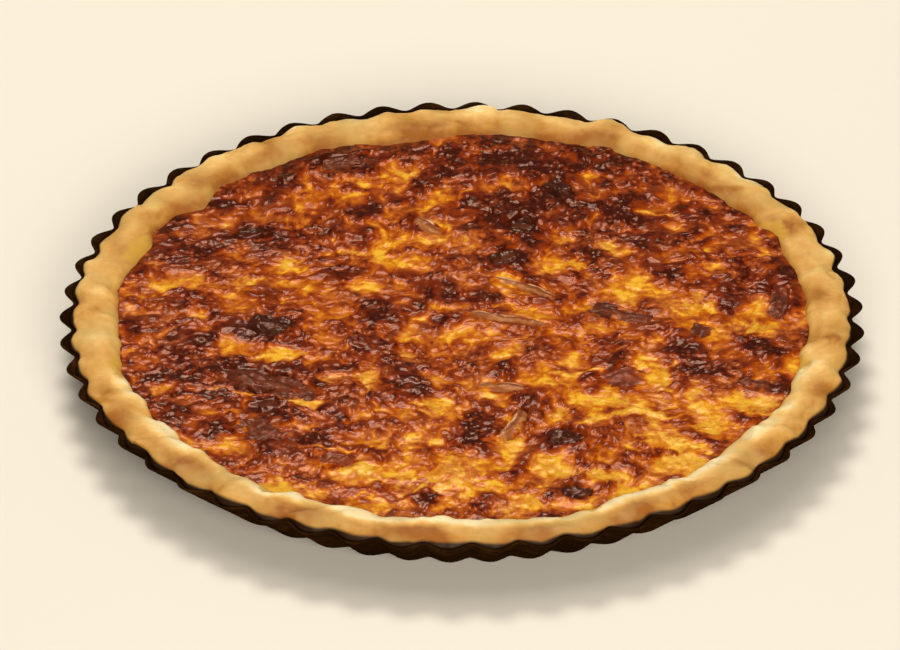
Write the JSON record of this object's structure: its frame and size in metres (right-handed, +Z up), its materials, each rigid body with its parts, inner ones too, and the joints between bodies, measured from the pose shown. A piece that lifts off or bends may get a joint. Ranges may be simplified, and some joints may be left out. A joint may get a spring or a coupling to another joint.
{
  "type": "quiche",
  "caption": "Round baked quiche in its own shallow fluted tin, with a rolled pastry edge and bacon, ham and onion baked into a browned custard top.",
  "frame": {"origin": "middle of the tin's foot, on the surface it stands on", "axes": "+Z up through the middle of the quiche; +Y away from the side that faces the viewer; +X to the viewer's right"},
  "size_m": [0.2808, 0.2808, 0.0227],
  "materials": {
    "tin": "dark brown-black non-stick coating on thin fluted steel sheet, semi-gloss, with baked-on fat along the edge",
    "pastry": "baked shortcrust pastry: pale gold on the crest of the rolled edge, toffee brown in its folds and against the custard",
    "filling": "baked egg custard with cheese: blistered, golden yellow to chestnut brown, with a thin film of fat",
    "onion": "roasted onion, soft and translucent with browned edges",
    "bacon": "baked bacon strip: red-brown meat with paler fat, glazed with custard",
    "ham": "baked ham: pinkish brown with a paler fat edge",
    "lardon": "well browned bacon cube, nearly black, with a fatty shine"
  },
  "bodies": {
    "root": {"tin": "tin", "pastry_case": "pastry", "filling": "filling", "onion_strip_1": "onion", "onion_strip_2": "onion", "onion_strip_3": "onion", "onion_strip_4": "onion", "onion_strip_5": "onion", "bacon_strip_1": "bacon", "bacon_strip_2": "bacon", "bacon_strip_3": "bacon", "bacon_strip_4": "bacon", "bacon_strip_5": "bacon", "bacon_strip_6": "bacon", "bacon_piece_1": "bacon", "ham_piece_1": "ham", "ham_piece_2": "ham", "lardon_1": "lardon", "lardon_2": "lardon", "lardon_3": "lardon", "lardon_4": "lardon", "lardon_5": "lardon", "lardon_6": "lardon", "lardon_7": "lardon"}
  },
  "joints": []
}
